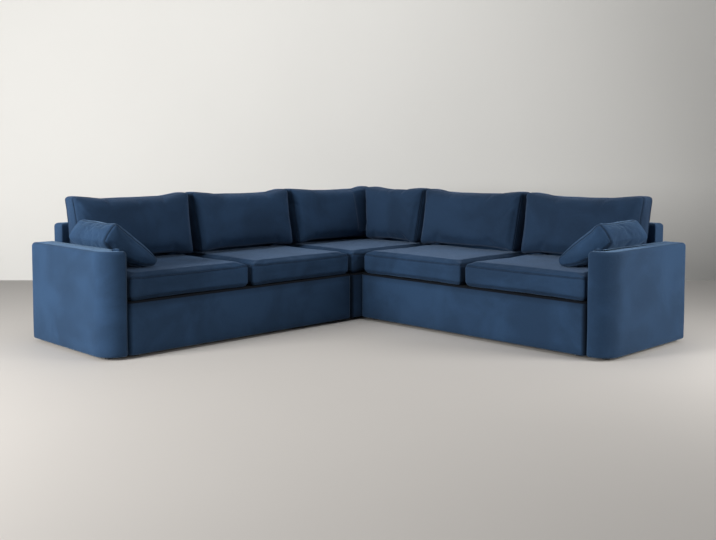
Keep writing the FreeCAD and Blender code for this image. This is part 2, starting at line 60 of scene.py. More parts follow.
print("frame:", len(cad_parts), "nodes, box", [round(v, 3) for v in (*cad_low, *cad_high)])

# %% [markdown]
# ## One drawing for two wings
# The sofa is an L of two wings that mirror each other. Each wing is drawn flat on the table: u runs
# along it away from the back corner, v from the wall to the front, z up. One function puts a
# drawing on the left wing (a turn) or the right wing (a mirror). A mirror turns a surface inside
# out, so its faces are wound the other way round there.

# %% From wing to frame
def to_frame(points, wing):
    """Left wing: X = x0 + v, Y = y1 - u. Right wing: X = x0 + u, Y = y1 - v. Z stays."""
    p = np.asarray(points, float)
    along, deep = (p[..., 1], p[..., 0]) if wing == "left" else (p[..., 0], p[..., 1])
    return np.stack([cad_low.x + along, cad_high.y - deep, p[..., 2]], -1)


def to_wing(points, wing):
    """The same map read backwards."""
    p = np.asarray(points, float)
    a, b = p[..., 0] - cad_low.x, cad_high.y - p[..., 1]
    return np.stack([b, a, p[..., 2]] if wing == "left" else [a, b, p[..., 2]], -1)


def new_piece(name, points, faces, wing=None):
    """A mesh from an array of points and a list of faces; drawn on a wing if one is given."""
    if wing:
        points = to_frame(points, wing)
        if wing == "right":
            faces = [f[::-1] for f in faces]
    mesh = bpy.data.meshes.new(name)
    mesh.from_pydata(np.asarray(points).reshape(-1, 3).tolist(), [], faces)
    mesh.update()
    piece = bpy.data.objects.new(name, mesh)
    bpy.context.scene.collection.objects.link(piece)
    return piece


def read_all(items, field, width=1, kind=np.float32):
    """One field of every vertex, edge, corner or face of a mesh, as an array with a row for each."""
    flat = np.empty(len(items) * width, kind)
    items.foreach_get(field, flat)
    return flat.reshape(-1, width) if width > 1 else flat


def read_points(mesh):
    return read_all(mesh.vertices, "co", 3).astype(float)


def write_points(mesh, points):
    mesh.vertices.foreach_set("co", np.asarray(points, np.float32).ravel())
    mesh.update()


print("wings start at x", round(cad_low.x, 3), "and y", round(cad_high.y, 3))

# %% [markdown]
# ## Camera and room
# The picture is taken from in front of the open corner, a little above the seats, with a fairly
# long lens. The lens looks down only four degrees and is shifted, so upright edges stay nearly so.
# The floor and wall are plain and pale. The wall stands behind the corner and is invisible from its
# back, so a view from behind looks through it.

# %% Camera
CAMERA_PLACE, LENS, LENS_SHIFT = (3.980, -3.899, 1.138), 46.81, -0.0732
view_yaw, view_pitch = math.radians(135.591), math.radians(4.0)
view_forward = Vector((math.cos(view_yaw) * math.cos(view_pitch),
                       math.sin(view_yaw) * math.cos(view_pitch), -math.sin(view_pitch)))
camera_data = bpy.data.cameras.new("camera")
camera = bpy.data.objects.new("camera", camera_data)
bpy.context.scene.collection.objects.link(camera)
bpy.context.scene.camera = camera
camera.location = CAMERA_PLACE
camera.rotation_euler = view_forward.to_track_quat("-Z", "Y").to_euler()
camera_data.sensor_width = 36.0
camera_data.lens = LENS
camera_data.shift_y = LENS_SHIFT
print("camera at", [round(v, 2) for v in camera.location], "lens", camera_data.lens)


# %% Materials are node trees
def new_material(name):
    """An empty material with a Principled shader, and a short way to add and link nodes."""
    material = bpy.data.materials.new(name)
    material.use_nodes = True
    tree = material.node_tree
    return material, tree, tree.nodes["Principled BSDF"]


def feed(tree, node, inputs):
    """Set a node's inputs; each value is a number, a colour or another node's output."""
    for key, value in inputs.items():
        if isinstance(value, bpy.types.NodeSocket):
            tree.links.new(value, node.inputs[key])
        else:
            node.inputs[key].default_value = value


def add_node(tree, kind, inputs=None, **settings):
    """One node with its settings and inputs."""
    node = tree.nodes.new(kind)
    for key, value in settings.items():
        setattr(node, key, value)
    feed(tree, node, inputs or {})
    return node


def mix_colours(tree, factor, low, high, blend="MIX"):
    """Two colours mixed by a factor, or multiplied; each is a colour or a socket."""
    return add_node(tree, "ShaderNodeMix", {0: factor, 6: low, 7: high}, data_type="RGBA",
                    blend_type=blend).outputs[2]


def maths(tree, operation, a, b=0.5, c=0.5):
    """One Math node; each operand is a number or a socket."""
    return add_node(tree, "ShaderNodeMath", {0: a, 1: b, 2: c}, operation=operation).outputs[0]


def own_place(tree):
    return add_node(tree, "ShaderNodeTexCoord").outputs["Object"]


def noise(tree, scale, detail=3.0, place=None, **more):
    """The mask of a noise texture, in the object's own coordinates unless others are given."""
    inputs = {"Vector": place or own_place(tree), "Scale": scale, "Detail": detail, **more}
    return add_node(tree, "ShaderNodeTexNoise", inputs).outputs["Fac"]


# %% Floor and wall
def stage_plane(name, corners, colour, roughness):
    """A flat four-cornered sheet of the room, with slow, faint changes of tone."""
    plane = new_piece(name, np.array(corners, float), [[0, 1, 2, 3]])
    material, tree, shader = new_material(name)
    darker = tuple(0.955 * c for c in colour)
    tone = mix_colours(tree, noise(tree, 0.9), (*darker, 1), (*colour, 1))
    feed(tree, shader, {"Base Color": tone, "Roughness": roughness, "Specular IOR Level": 0.25})
    plane.data.materials.append(material)
    return plane, tree, shader


FLOOR_COLOUR, FLOOR_HALF = (0.64, 0.605, 0.565), 40
WALL_COLOUR, WALL_HALF, WALL_HIGH, WALL_AWAY = (0.72, 0.71, 0.68), 9, 6, 8.25
floor_corners = [(FLOOR_HALF * x, FLOOR_HALF * y, 0) for x, y in ((-1, -1), (1, -1), (1, 1), (-1, 1))]
stage_plane("floor", floor_corners, FLOOR_COLOUR, 0.62)
wall_way = Vector((math.cos(view_yaw), math.sin(view_yaw), 0))
side_way = Vector((math.sin(view_yaw), -math.cos(view_yaw), 0))
wall_foot = Vector((camera.location.x, camera.location.y, 0)) + wall_way * WALL_AWAY
wall_left, wall_right = wall_foot - side_way * WALL_HALF, wall_foot + side_way * WALL_HALF
up = Vector((0, 0, WALL_HIGH))
wall_corners = [tuple(p) for p in (wall_left, wall_right, wall_right + up, wall_left + up)]
wall, wall_tree, wall_shader = stage_plane("wall", wall_corners, WALL_COLOUR, 0.8)
seen_behind = add_node(wall_tree, "ShaderNodeNewGeometry").outputs["Backfacing"]
clear = add_node(wall_tree, "ShaderNodeBsdfTransparent")
choose = add_node(wall_tree, "ShaderNodeMixShader", {0: seen_behind, 1: wall_shader.outputs[0],
                                                     2: clear.outputs[0]})
wall_tree.links.new(choose.outputs[0], wall_tree.nodes["Material Output"].inputs["Surface"])
wall.visible_diffuse = wall.visible_shadow = wall.visible_glossy = False
print("wall", round((wall_foot - Vector((cad_low.x, cad_high.y, 0))).length, 2), "m behind the corner")


# %% Lamps
def softbox(name, place, aim, width, height, watts, spread=180):
    """A large soft rectangular lamp that looks at a point; a small spread keeps it off the rest."""
    data = bpy.data.lights.new(name, "AREA")
    data.shape = "RECTANGLE"
    data.size, data.size_y = width, height
    data.energy = watts
    data.spread = math.radians(spread)
    lamp = bpy.data.objects.new(name, data)
    bpy.context.scene.collection.objects.link(lamp)
    lamp.location = place
    lamp.rotation_euler = (Vector(aim) - Vector(place)).to_track_quat("-Z", "Y").to_euler()


softbox("left_box", (-1.1, -5.8, 1.8), (-0.4, -0.6, 0.3), 2.2, 2.0, 415)
softbox("right_box", (3.6, 1.9, 1.3), (1.4, 0.9, 0.3), 1.3, 1.5, 38, spread=120)
softbox("top_box", (0.2, -0.2, 4.6), (-0.1, 0.1, 0.2), 4.5, 4.5, 64)
softbox("wall_wash", (-0.6, 0.6, 4.2), tuple(wall_foot + Vector((0, 0, 1.2))), 5.0, 1.0, 14)
world = bpy.data.worlds.new("room")
bpy.context.scene.world = world
world.use_nodes = True
room = world.node_tree
fill = room.nodes["Background"]
feed(room, fill, {"Color": (0.80, 0.85, 0.92, 1), "Strength": 0.11})
pale = add_node(room, "ShaderNodeBackground", {"Color": (0.62, 0.61, 0.585, 1)})
ray = add_node(room, "ShaderNodeLightPath")
seen = ray.outputs["Is Camera Ray"]
for kind in ("Is Glossy Ray", "Is Transmission Ray"):
    seen = maths(room, "MAXIMUM", seen, ray.outputs[kind])
either = add_node(room, "ShaderNodeMixShader", {0: seen, 1: fill.outputs[0], 2: pale.outputs[0]})
room.links.new(either.outputs[0], room.nodes["World Output"].inputs["Surface"])
bpy.context.scene.view_settings.view_transform = "Standard"

# %% [markdown]
# ## The blue cloth
# The sofa is covered in one brushed, velvety cloth. Three things make such a cloth: a fine weave
# that shows close up, a nap that lies this way and that and leaves soft lighter and darker patches,
# and short fibres that catch light at a grazing angle, which is the shader's sheen. Weave and nap
# are node groups, built once and used with other numbers in each material. Shade is also painted
# into the cloth, at seams, hems and where parts meet, from a number stored on the mesh, called seam.


# %% Weave and nap groups
def new_group(name, inputs, output):
    """A shader node group with named number inputs and one named number output."""
    group = bpy.data.node_groups.new(name, "ShaderNodeTree")
    for label, value in inputs.items():
        socket = group.interface.new_socket(name=label, in_out="INPUT", socket_type="NodeSocketFloat")
        socket.default_value = value
    group.interface.new_socket(name=output, in_out="OUTPUT", socket_type="NodeSocketFloat")
    return group, group.nodes.new("NodeGroupInput"), group.nodes.new("NodeGroupOutput")


def weave_group():
    """Height of a plain weave, threads over and under in turn: 0.5 + 0.5 sin(T u + d) sin(T v + d),
    where d is a slow drift by noise and T, Threads, is 2 pi times the threads per metre."""
    group, source, sink = new_group("weave", {"Threads": 3900.0}, "Height")
    cloth = add_node(group, "ShaderNodeUVMap", uv_map="cloth").outputs[0]
    across = add_node(group, "ShaderNodeSeparateXYZ", {0: cloth})
    drift = maths(group, "MULTIPLY", noise(group, 60.0, 2.0, cloth), 1.6)
    waves = []
    for axis in ("X", "Y"):
        turns = maths(group, "MULTIPLY_ADD", across.outputs[axis], source.outputs["Threads"], drift)
        waves.append(maths(group, "SINE", turns))
    height = maths(group, "MULTIPLY_ADD", maths(group, "MULTIPLY", *waves), 0.5, 0.5)
    group.links.new(height, sink.inputs["Height"])
    return group


def nap_and_shade_group():
    """Patches of brushed nap: a broad noise squeezed to a soft mask, and a fine one, then darkened
    by painted shade, the mesh's seam number. Output Tone multiplies the cloth colour around 1."""
    group, source, sink = new_group("nap", {"Amount": 0.16, "Fine": 0.10, "Seam": 0.75}, "Tone")
    broad = noise(group, 3.2, 4.0, Roughness=0.55, Distortion=0.6)
    patch = add_node(group, "ShaderNodeMapRange", {0: broad, 1: 0.34, 2: 0.66, 3: -1.0, 4: 1.0},
                     interpolation_type="SMOOTHSTEP").outputs[0]
    fine = maths(group, "MULTIPLY_ADD", noise(group, 95.0), 2.0, -1.0)
    tone = maths(group, "MULTIPLY_ADD", patch, source.outputs["Amount"], 1.0)
    tone = maths(group, "MULTIPLY_ADD", fine, source.outputs["Fine"], tone)
    # Painted shade: the seam number darkens the tone by up to Seam.
    seam = add_node(group, "ShaderNodeAttribute", attribute_name="seam").outputs["Fac"]
    dark = maths(group, "MULTIPLY", seam, source.outputs["Seam"])
    tone = maths(group, "MULTIPLY", tone, maths(group, "SUBTRACT", 1.0, dark))
    group.links.new(tone, sink.inputs["Tone"])
    return group


def grain_group():
    """Wood grain: a noise drawn out level and packed close in height, as a mask from 0 to 1."""
    group, source, sink = new_group("grain", {"Scale": 9.0}, "Mask")
    stretch = add_node(group, "ShaderNodeMapping", {"Vector": own_place(group), "Scale": (0.35, 0.35, 6.0)})
    grain = noise(group, source.outputs[0], 6.0, stretch.outputs[0], Distortion=1.1)
    group.links.new(grain, sink.inputs["Mask"])
    return group


def add_group(tree, group, **inputs):
    """The output of a group, used with the given numbers."""
    node = add_node(tree, "ShaderNodeGroup", node_tree=group)
    feed(tree, node, inputs)
    return node.outputs[0]


WEAVE, NAP_AND_SHADE, GRAIN = weave_group(), nap_and_shade_group(), grain_group()
print("groups:", [g.name for g in bpy.data.node_groups])


# %% The cloth material
def cloth_material(name, colour, sheen, sheen_tint, sheen_roughness=0.40, amount=0.16):
    """Brushed cloth: colour times nap tone and painted shade, weave as bump, sheen on its own socket."""
    material, tree, shader = new_material(name)
    tone = add_group(tree, NAP_AND_SHADE, Amount=amount)
    bump = add_node(tree, "ShaderNodeBump", {"Height": add_group(tree, WEAVE), "Strength": 0.35,
                                             "Distance": 0.0006})
    feed(tree, shader, {"Base Color": mix_colours(tree, 1.0, (*colour, 1), tone, "MULTIPLY"),
                        "Roughness": maths(tree, "MULTIPLY_ADD", tone, -0.10, 0.95),
                        "Normal": bump.outputs[0], "Specular IOR Level": 0.15, "Sheen Weight": sheen,
                        "Sheen Roughness": sheen_roughness, "Sheen Tint": (*sheen_tint, 1)})
    return material


BLUE = (0.017, 0.043, 0.092)


def shaded_blue(share):
    return tuple(share * c for c in BLUE)


# The back cushions wear darker copies of the same cloth as painted shade, much darker on the
# right wing.
blue_cloth = cloth_material("blue_cloth", BLUE, 0.34, (0.36, 0.58, 0.88))
# The seat cushions wear a darker copy of the cloth with less sheen: painted shade.
seat_cloth = cloth_material("seat_cloth", shaded_blue(0.92), 0.22, (0.40, 0.57, 0.86))
shaded_back_cloth = {wing: cloth_material("back_cloth_" + wing, shaded_blue(share), 0.26, (0.42, 0.56, 0.84))
              for wing, share in (("left", 0.92), ("right", 0.70))}
# The seam edges are the same cloth, painted darker as the shade in their grooves.
shaded_seam_thread = cloth_material("shaded_seam_thread", (0.012, 0.028, 0.060), 0.15, (0.36, 0.58, 0.88), 0.5, 0.05)
# A plain platform cloth for the base tops, painted very dark and without sheen as the shade under the seat
# cushions.
platform_shade_cloth = cloth_material("platform_shade_cloth", (0.006, 0.012, 0.024), 0.0, (1, 1, 1), 0.5, 0.08)
print("materials:", [m.name for m in bpy.data.materials])


# %% [markdown]
# ## What the covers hide
# Timber rails, webbing, dust cloths, feet and steel stay as the frame has them, because their
# shapes are right. They only need a finish each: sawn wood with grain, ribbed elastic, black
# felted cloth, moulded plastic and zinc-plated steel.

# %% Finishes of the carried-over nodes
def plain_material(name, low, high, mask, scale, bump, roughness, metallic=0.0):
    """Two colours mixed by wood grain, ribs or noise; the same pattern gives the bump."""
    material, tree, shader = new_material(name)
    if mask == "grain":
        pattern = add_group(tree, GRAIN, Scale=scale)
    elif mask == "ribs":
        inputs = {"Vector": own_place(tree), "Scale": scale, "Distortion": 0.3}
        pattern = add_node(tree, "ShaderNodeTexWave", inputs, bands_direction="DIAGONAL").outputs["Fac"]
    else:
        pattern = noise(tree, scale, 5.0)
    height = add_node(tree, "ShaderNodeBump", {"Height": pattern, "Strength": 0.4, "Distance": bump})
    feed(tree, shader, {"Base Color": mix_colours(tree, pattern, (*low, 1), (*high, 1)),
                        "Normal": height.outputs[0], "Roughness": roughness, "Metallic": metallic})
    return material


timber = plain_material("sawn_timber", (0.42, 0.26, 0.13), (0.62, 0.43, 0.25), "grain", 9.0, 0.0008, 0.7)
steel = plain_material("zinc_steel", (0.42, 0.43, 0.44), (0.62, 0.63, 0.62), "noise", 180.0, 0.0001,
                       0.35, 1.0)
FINISHES = {
    "frame": timber, "rail": timber, "blocks": timber, "screws": steel, "bolts": steel, "plates": steel,
    "webbing": plain_material("elastic_webbing", (0.02, 0.02, 0.02), (0.11, 0.10, 0.085), "ribs", 90.0,
                              0.0006, 0.8),
    "dust": plain_material("black_dust_cloth", (0.008, 0.008, 0.009), (0.022, 0.022, 0.024), "noise",
                           420.0, 0.0004, 0.95),
    "feet": plain_material("moulded_plastic", (0.012, 0.012, 0.013), (0.02, 0.02, 0.021), "noise", 300.0,
                           0.0002, 0.45),
}
finished = 0
for node_name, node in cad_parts.items():
    for word, finish in FINISHES.items():
        if word in node_name:
            node.data.materials.clear()
            node.data.materials.append(finish)
            finished += 1
print("finished nodes:", finished, "and the others get a new skin")

# %% [markdown]
# ## Upholstered covers
# A cover is a cap of cloth over padding on timber. Its plan has right angles with rounded corners,
# and each level up is the same plan drawn in a little, so a cover is a stack of rings: a profile
# of (inset, height) carried round the plan. The outside swells a few millimetres where padding
# pushes it, and is drawn in at seams. A Solidify modifier gives the cap its 12 mm wall, inwards.

# %% Sizes, as in the frame
SOLE, BASE_TOP, ARM_TOP, BACK_TOP = 0.018, 0.315, 0.600, 0.710
DEPTH, BACK, ARM_WIDTH = 0.870, 0.100, 0.150
SEAT_WIDE = {"left": 0.850, "right": 0.878}
COVER_WALL = 0.012


def mark(wing, seats):
    """Where that many seats end. The first starts at the back's front face on the left wing, and at
    the front of the left wing on the right one."""
    return {"left": BACK, "right": DEPTH}[wing] + seats * SEAT_WIDE[wing]


ARM_START = {"left": mark("left", 3), "right": mark("right", 2)}
SECTION = {"corner": ("left", mark("left", 0), mark("left", 1)),
           "left": ("left", mark("left", 1), mark("left", 3)),
           "right": ("right", mark("right", 0), mark("right", 2))}
print("arms start at", ARM_START)


# %% Rings round a plan
def plan_ring(plan, radii, inset, pitch=0.03, arc_steps=7):
    """Convex corner: arc of radius R - inset about the corner moved R inwards, R = max(radius, inset).
    Hollow corner: arc of radius r + inset. Sides are split into equal steps of about pitch.
    Returns places, outward directions, side number and share 0..1 along the side."""
    plan = np.array(plan, float)
    count = len(plan)
    run = np.roll(plan, -1, 0) - plan
    length = np.hypot(run[:, 0], run[:, 1])
    out_way = run / length[:, None]
    in_way = np.roll(out_way, 1, 0)
    normal_in = np.stack([-in_way[:, 1], in_way[:, 0]], 1)
    normal_out = np.stack([-out_way[:, 1], out_way[:, 0]], 1)
    turn = in_way[:, 0] * out_way[:, 1] - in_way[:, 1] * out_way[:, 0]
    angle = np.linspace(0, np.pi / 2, arc_steps + 1)[:, None]
    arcs, outs = [], []
    for i in range(count):
        reach, sign = (max(radii[i], inset + 0.001), -1) if turn[i] > 0 else (radii[i], 1)
        middle = plan[i] - sign * reach * (normal_in[i] + normal_out[i])
        way = sign * (np.cos(angle) * normal_in[i] + np.sin(angle) * normal_out[i])
        arcs.append(middle + (reach + sign * inset) * way)
        outs.append(-sign * way)
    rings, ways, sides, shares = [], [], [], []
    for i in range(count):
        steps = max(int(round(length[i] / pitch)), 1)
        share = (np.arange(1, steps) / steps)[:, None]
        start, end = arcs[i][-1], arcs[(i + 1) % count][0]
        rings += [arcs[i], start + (end - start) * share]
        ways += [outs[i], np.repeat(-normal_out[i][None], steps - 1, 0)]
        sides += [np.full(arc_steps + 1, i - 0.5), np.full(steps - 1, float(i))]
        shares += [np.zeros(arc_steps + 1), share[:, 0]]
    return np.vstack(rings), np.vstack(ways), np.concatenate(sides), np.concatenate(shares)


def roll_profile(bottom, top, radius, deep, rows=9, pitch=0.04):
    """Heights and insets of a cover: hem tucked under, upright wall, quarter-round roll, flat top."""
    wall = np.arange(bottom + 0.012, top - radius - 0.01, pitch)
    turn = np.linspace(0, np.pi / 2, rows)
    flat = np.linspace(radius, deep, 5)[1:]
    inset = np.concatenate([[0.006, 0.0015], np.zeros(len(wall)), radius * (1 - np.cos(turn)), flat])
    height = np.concatenate([[bottom, bottom + 0.005], wall, top - radius + radius * np.sin(turn),
                             np.full(len(flat), top)])
    return np.stack([inset, height], 1)


def ripple(points, size):
    """Slow unevenness of hand-pulled cloth: a sum of three sine products of fixed phase."""
    x, y, z = points[..., 0], points[..., 1], points[..., 2]
    waves = np.sin(7.1 * x + 5.3 * y + 0.4) * np.cos(8.3 * z - 1.7)
    waves = waves + 0.6 * np.sin(13.7 * x - 9.1 * y + 2.1) * np.sin(11.9 * z + 0.6)
    waves = waves + 0.35 * np.sin(29.0 * x + 23.0 * y + 17.0 * z)
    return size * waves


def stack_faces(rows, around):
    """Four-cornered faces between neighbouring rings, all the way round."""
    ring = np.arange(around)
    after = (ring + 1) % around
    low = np.arange(rows - 1)[:, None] * around
    faces = np.stack([low + ring, low + after, low + around + after, low + around + ring], -1)
    return faces.reshape(-1, 4)


def closed_faces(rows, around):
    """The same faces as a list, and one face at each end."""
    last = (rows - 1) * around
    ends = [list(range(around))[::-1], [last + i for i in range(around)]]
    return stack_faces(rows, around).tolist() + ends


def cloth_uv(piece):
    """Box mapping in metres: each face reads the two coordinates it lies along, as cut panels do."""
    mesh = piece.data
    facing = np.abs(read_all(mesh.polygons, "normal", 3)).argmax(1)
    facing = np.repeat(facing, read_all(mesh.polygons, "loop_total", kind=np.int32))
    at = read_points(mesh)[read_all(mesh.loops, "vertex_index", kind=np.int32)]
    u = np.where(facing == 0, at[:, 1], at[:, 0])
    v = np.where(facing == 2, at[:, 1], at[:, 2])
    layer = mesh.uv_layers.new(name="cloth")
    layer.data.foreach_set("uv", np.stack([u, v], 1).astype(np.float32).ravel())


def store_painted_shade(piece, values):
    """Keep the seam number of every vertex, its painted shade, on the mesh for the nap group to read."""
    layer = piece.data.attributes.new("seam", "FLOAT", "POINT")
    layer.data.foreach_set("value", np.asarray(values, np.float32))


def dress(piece, cloth, body):
    """Panel mapping, smooth shading and one cloth on a piece, and the body that carries it."""
    cloth_uv(piece)
    piece.data.polygons.foreach_set("use_smooth", np.ones(len(piece.data.polygons), bool))
    piece.data.materials.clear()
    piece.data.materials.append(cloth)
    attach(piece, body)


# %% Covers as caps
def cover(name, wing, plan, radii, top, roll, deep, puff, open_sides=(), open_below=0.0, joints=(),
          top_shade=0.0):
    """Rings from hem to top, pushed out by puff * sqrt(4s(1-s)) * a half wave of height, plus ripple.
    A face is left out where its side is open below the given height. Where a neighbour stands close,
    in the listed directions along the wing (-1, 1), the cloth facing it gets painted shade, and
    top_shade paints shade over the last 12 mm of height. A faint painted shade runs along the hem."""
    profile = roll_profile(SOLE, top, roll, deep)
    soft_sides = [i + step for i in puff for step in (-0.5, 0, 0.5)]
    rings, seam = [], []
    for inset, height in profile:
        ring, way, side, share = plan_ring(plan, radii, inset)
        swell = np.zeros(len(ring))
        for i, amount in puff.items():
            swell = swell + np.where(side == i, amount * np.sqrt(np.clip(4 * share * (1 - share), 0, 1)), 0)
        rise = np.clip((height - SOLE) / (top - SOLE), 0, 1)
        swell = swell * np.sin(np.pi * np.clip(rise * 1.04, 0, 1)) ** 0.6
        at = np.column_stack([ring, np.full(len(ring), height)])
        soft = ripple(at, 0.0007) * np.isin(side, soft_sides)
        at[:, :2] += way * (swell + soft * np.clip(rise * 8, 0, 1))[:, None]
        rings.append(at)
        # Painted shade: faint along the hem by the floor, dark on sides that face a close neighbour, and on
        # the top under the seat cushions.
        shade = np.full(len(ring), 0.35 * math.exp(-((height - SOLE) / 0.012) ** 2))
        for facing in joints:
            shade = np.maximum(shade, 0.9 * np.clip((facing * way[:, 0] - 0.2) / 0.5, 0, 1))
        shade = np.maximum(shade, top_shade * np.clip((height - top + 0.012) / 0.006, 0, 1))
        seam.append(shade)
    around = len(rings[0])
    faces = stack_faces(len(rings), around)
    keep = np.ones(len(faces), bool)
    for i in open_sides:
        low = profile[:-1, 1][:, None] < open_below
        keep &= ~(low & (side == i)[None, :]).ravel()
    top_face = (np.arange(around) + (len(rings) - 1) * around).tolist()
    piece = new_piece(name, np.array(rings), faces[keep].tolist() + [top_face], wing)
    store_painted_shade(piece, np.concatenate(seam))
    wall = piece.modifiers.new("wall", "SOLIDIFY")
    wall.thickness, wall.offset = COVER_WALL, -1
    dress(piece, blue_cloth, "frame")
    print(name, len(piece.data.polygons), "faces")
    return piece


def box_plan(u0, u1, v0, v1):
    return [(u0, v0), (u1, v0), (u1, v1), (u0, v1)]


# %% [markdown]
# ## Bases
# Each of the three sections stands on a plinth covered down to the floor line. The front is one
# panel pulled round a rail, with small rounds at its ends. Where two sections meet, the two rounds
# and painted shade on the ends that face each other make the dark upright line seen in the left
# wing near the corner. The base is open behind, against the back, so the cap has no wall there. Its
# top, under the seat cushions, wears a plain platform cloth painted very dark as shade, and its top
# edge gets painted shade too.

# %% Base covers
JOINT = 0.002
END_ROUND = 0.028
# Painted shade on the base ends that face a close neighbour: the corner and left sections where they meet,
# the right section beside its arm.
SHADED_END = {"corner": (1,), "left": (-1,), "right": (1,)}
for section, (wing, start, end) in SECTION.items():
    first_round = 0.006 if section == "corner" else END_ROUND
    base = cover(section + "_base_upholstery", wing, box_plan(start + JOINT, end - JOINT, BACK, DEPTH),
                 [0.002, 0.002, END_ROUND, first_round], BASE_TOP, 0.009, 0.05, {2: 0.0035},
                 open_sides=(0,), open_below=BASE_TOP - 0.004, joints=SHADED_END[section], top_shade=0.9)
    # The top and its roll wear the platform cloth: painted shade in the gap under the seat cushions.
    base.data.materials.append(platform_shade_cloth)
    on_top = read_all(base.data.polygons, "center", 3)[:, 2] > BASE_TOP - 0.0075
    base.data.polygons.foreach_set("material_index", on_top.astype(np.int32))
    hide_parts(section + "_base_cover", section + "_deck_pad")

# %% [markdown]
# ## Arms
# The arms are upright slabs with a very large round at the outer front corner, a smaller one at the
# outer back and a soft roll round the top. A fine seam runs round the top where the side panel
# meets the top panel. The same cap function makes them, with other radii.

# %% Arm covers
ARM_ROUNDS = [0.008, 0.016, 0.118, END_ROUND]
# Painted shade on the left arm's inner side, beside the base.
SHADED_SIDE = {"left": (-1,), "right": ()}
for wing, start in ARM_START.items():
    arm = cover(wing + "_arm_upholstery", wing, box_plan(start + JOINT, start + ARM_WIDTH, 0, DEPTH),
                ARM_ROUNDS, ARM_TOP, 0.024, 0.068, {1: 0.004, 2: 0.0}, joints=SHADED_SIDE[wing])
    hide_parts(wing + "_arm_cover")

# %% [markdown]
# ## Low backs
# Behind the cushions stands a low padded back that ends a little above their middle. In the corner
# it bends, and that bend is one piece of cloth, so one L-shaped plan replaces three solids.

# %% Back covers
EDGE = 0.007
BEND = [(0, 0), (mark("left", 1), 0), (mark("left", 1), BACK), (BACK, BACK), (BACK, DEPTH), (0, DEPTH)]
bend = cover("corner_back_upholstery", "left", BEND, [0.040, EDGE, EDGE, 0.006, EDGE, EDGE], BACK_TOP,
             0.024, 0.047, {0: 0.003, 5: 0.003}, open_sides=(2, 3), open_below=0.305)
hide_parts("corner_back_cover", "corner_bend_back_cover", "corner_side_back_cover")
for section in ("left", "right"):
    wing, start, end = SECTION[section]
    back = cover(section + "_back_upholstery", wing, box_plan(start, end, 0, BACK), [EDGE] * 4, BACK_TOP,
                 0.024, 0.047, {0: 0.003}, open_sides=(2,), open_below=0.305)
    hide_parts(section + "_back_cover")


# %% [markdown]
# ## Seams
# A sewn seam is a shallow groove with a fine raised edge of doubled cloth. On the covers the edge is
# a tube not quite four millimetres thick, carried along a ring of the cover and half sunk in it.

# %% Seam tubes
def tube(path, radius, closed=True, sides=6):
    """A circle carried along a path. The circle stands across the path: its two axes are the
    sideways direction level with the floor and the one at right angles to both."""
    path = np.asarray(path, float)
    along = np.roll(path, -1, 0) - np.roll(path, 1, 0) if closed else np.gradient(path, axis=0)
    along /= np.linalg.norm(along, axis=1)[:, None] + 1e-12
    level = np.cross(along, [0, 0, 1.0])
    steep = np.linalg.norm(level, axis=1) < 0.2
    level[steep] = np.cross(along[steep], [0.6, 0.8, 0])
    level /= np.linalg.norm(level, axis=1)[:, None]
    other = np.cross(level, along)
    angle = np.arange(sides) * 2 * np.pi / sides
    circle = np.cos(angle)[None, :, None] * level[:, None] + np.sin(angle)[None, :, None] * other[:, None]
    points = path[:, None] + radius * circle
    if closed:
        return points, (stack_faces(len(path) + 1, sides) % (len(path) * sides)).tolist()
    return points, closed_faces(len(path), sides)


def seam_piece(name, wing, paths, radius, body):
    """One piece from several tubes that belong together."""
    places, faces, first = [], [], 0
    for path, closed in paths:
        points, quads = tube(path, radius, closed)
        places.append(points.reshape(-1, 3))
        faces += [[first + i for i in quad] for quad in quads]
        first += len(places[-1])
    dress(new_piece(name, np.vstack(places), faces, wing), shaded_seam_thread, body)


TRIM_INSET, TRIM_DROP, TRIM_RADIUS = 0.0125, 0.0040, 0.0018
for wing, start in ARM_START.items():
    ring = plan_ring(box_plan(start, start + ARM_WIDTH, 0, DEPTH), ARM_ROUNDS, TRIM_INSET)[0]
    path = np.column_stack([ring, np.full(len(ring), ARM_TOP - TRIM_DROP)])
    seam_piece(wing + "_arm_seam", wing, [(path, True)], TRIM_RADIUS, "frame")
print("arm seams:", list(ARM_START))

# %% [markdown]
# ## Loose cushions
# Eleven boxed cushions lie on the sofa and two small ones are propped on its arms. Each starts as
# a stack of soft-cornered rings, the same numbers as its solid in the frame. Its sides are drawn
# in between the corners, its top is crowned, and a free front bulges. Then it is filled like the
# real one: the skin is cut into even small faces, and a cloth simulation blows it up from inside.


# %% Soft rings
def soft_ring(corners, trim, bulges=(0, 0, 0, 0), side_steps=20, corner_steps=5):
    """Side: straight from trim to trim plus bulge * 4t(1-t) outwards. Corner: a circular arc as a
    rational quadratic curve, with the corner as control point and weight sin(half its angle)."""
    corners = np.asarray(corners, float)
    centre = corners.mean(0)
    after = np.roll(corners, -1, 0)
    along = after - corners
    along /= np.linalg.norm(along, axis=1)[:, None]
    start, end = corners + along * trim, after - along * trim
    t = (np.arange(side_steps) / side_steps)[:, None]
    s = (np.arange(corner_steps) / corner_steps)[:, None]
    parts = []
    for i in range(4):
        outward = (corners[i] + after[i]) / 2 - centre
        outward = outward - along[i] * (outward @ along[i])
        outward /= np.linalg.norm(outward)
        parts.append(start[i] + (end[i] - start[i]) * t + outward * bulges[i] * 4 * t * (1 - t))
        following = start[(i + 1) % 4]
        weight = math.sqrt((1 + along[i] @ along[(i + 1) % 4]) / 2)
        blend = (1 - s) ** 2 + 2 * weight * s * (1 - s) + s ** 2
        curve = (1 - s) ** 2 * end[i] + 2 * weight * s * (1 - s) * after[i] + s ** 2 * following
        parts.append(curve / blend)
    return np.vstack(parts)


